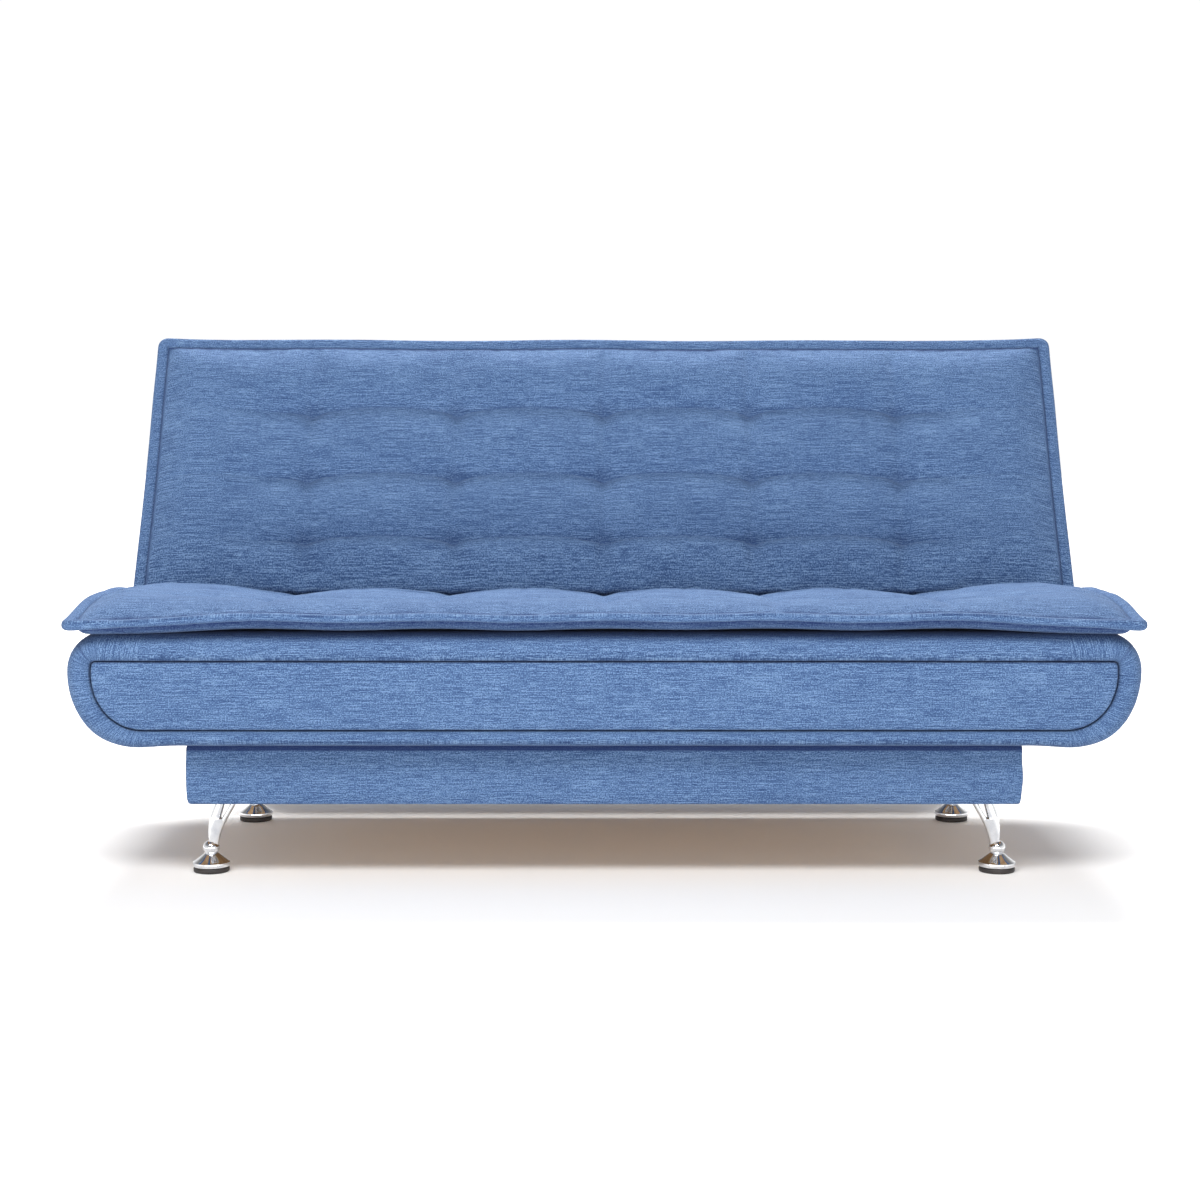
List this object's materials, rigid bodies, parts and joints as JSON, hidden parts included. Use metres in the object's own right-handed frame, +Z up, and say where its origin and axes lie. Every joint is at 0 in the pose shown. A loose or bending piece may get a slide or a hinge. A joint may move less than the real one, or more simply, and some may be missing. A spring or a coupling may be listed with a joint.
{
  "type": "futon sofa bed",
  "caption": "Blue tufted click-clack futon sofa bed: flanged seat and back mattresses on hinged slatted frames over a boat-shaped storage chest, plinth and forked chrome legs.",
  "frame": {"origin": "on the floor, under the middle of the whole sofa's box", "axes": "+X along the length, +Y to the rear, +Z up"},
  "size_m": [1.85, 0.8898, 0.9719],
  "materials": {
    "blue_fabric": "matt melange weave, mid denim blue with lighter and darker horizontal slubs",
    "pine": "planed, unpainted softwood",
    "plywood": "sanded plywood",
    "zinc_steel": "zinc plated pressed steel",
    "chrome": "polished chrome plate",
    "dark_rubber": "matt dark rubber"
  },
  "bodies": {
    "chest": {"chest_front_padding": "blue_fabric", "chest_front_board": "plywood", "chest_rear_board": "plywood", "chest_rear_cover": "blue_fabric", "chest_floor": "plywood", "seat_rest_rail": "pine", "chest_side_board_left": "plywood", "chest_side_padding_left": "blue_fabric", "chest_side_board_right": "plywood", "chest_side_padding_right": "blue_fabric", "plinth_front_board": "plywood", "plinth_rear_board": "plywood", "plinth_left_board": "plywood", "plinth_right_board": "plywood", "corner_block_front_left": "pine", "corner_block_front_right": "pine", "corner_block_rear_left": "pine", "corner_block_rear_right": "pine", "leg_front_left": "chrome", "leg_front_right": "chrome", "leg_rear_left": "chrome", "leg_rear_right": "chrome", "foot_pad_front_left": "dark_rubber", "foot_pad_front_right": "dark_rubber", "foot_pad_rear_left": "dark_rubber", "foot_pad_rear_right": "dark_rubber", "hinge_bracket_left": "zinc_steel", "hinge_bracket_right": "zinc_steel", "hinge_bolt_left": "zinc_steel", "hinge_bolt_right": "zinc_steel"},
    "seat": {"seat_front_rail": "pine", "seat_rear_rail": "pine", "seat_left_rail": "pine", "seat_right_rail": "pine", "seat_slat_1": "pine", "seat_slat_2": "pine", "seat_slat_3": "pine", "seat_slat_4": "pine", "seat_slat_5": "pine", "seat_mattress": "blue_fabric", "seat_hinge_arm_left": "zinc_steel", "seat_hinge_arm_right": "zinc_steel", "ratchet_left": "zinc_steel", "ratchet_right": "zinc_steel"},
    "back": {"back_top_rail": "pine", "back_bottom_rail": "pine", "back_left_rail": "pine", "back_right_rail": "pine", "back_slat_1": "pine", "back_slat_2": "pine", "back_slat_3": "pine", "back_slat_4": "pine", "back_slat_5": "pine", "back_mattress": "blue_fabric", "back_cover": "blue_fabric", "back_hinge_arm_left": "zinc_steel", "back_hinge_arm_right": "zinc_steel"},
    "pawl_left": {"pawl_left": "zinc_steel"},
    "pawl_right": {"pawl_right": "zinc_steel"}
  },
  "joints": [
    {"name": "seat_lift", "type": "hinge", "parent": "chest", "child": "seat", "pos_m": [0, 0.12706, 0.47], "axis": [-1, 0, 0], "range_deg": [0, 40]},
    {"name": "back_recline", "type": "hinge", "parent": "chest", "child": "back", "pos_m": [0, 0.12706, 0.47], "axis": [-1, 0, 0], "range_deg": [-8, 61]},
    {"name": "pawl_left_lift", "type": "hinge", "parent": "back", "child": "pawl_left", "pos_m": [-0.8068, 0.16076, 0.42528], "axis": [-1, 0, 0], "range_deg": [0, 14], "stiffness_Nm_per_rad": 0.4, "springref_deg": -17.19},
    {"name": "pawl_right_lift", "type": "hinge", "parent": "back", "child": "pawl_right", "pos_m": [0.8068, 0.16076, 0.42528], "axis": [-1, 0, 0], "range_deg": [0, 14], "stiffness_Nm_per_rad": 0.4, "springref_deg": -17.19}
  ]
}
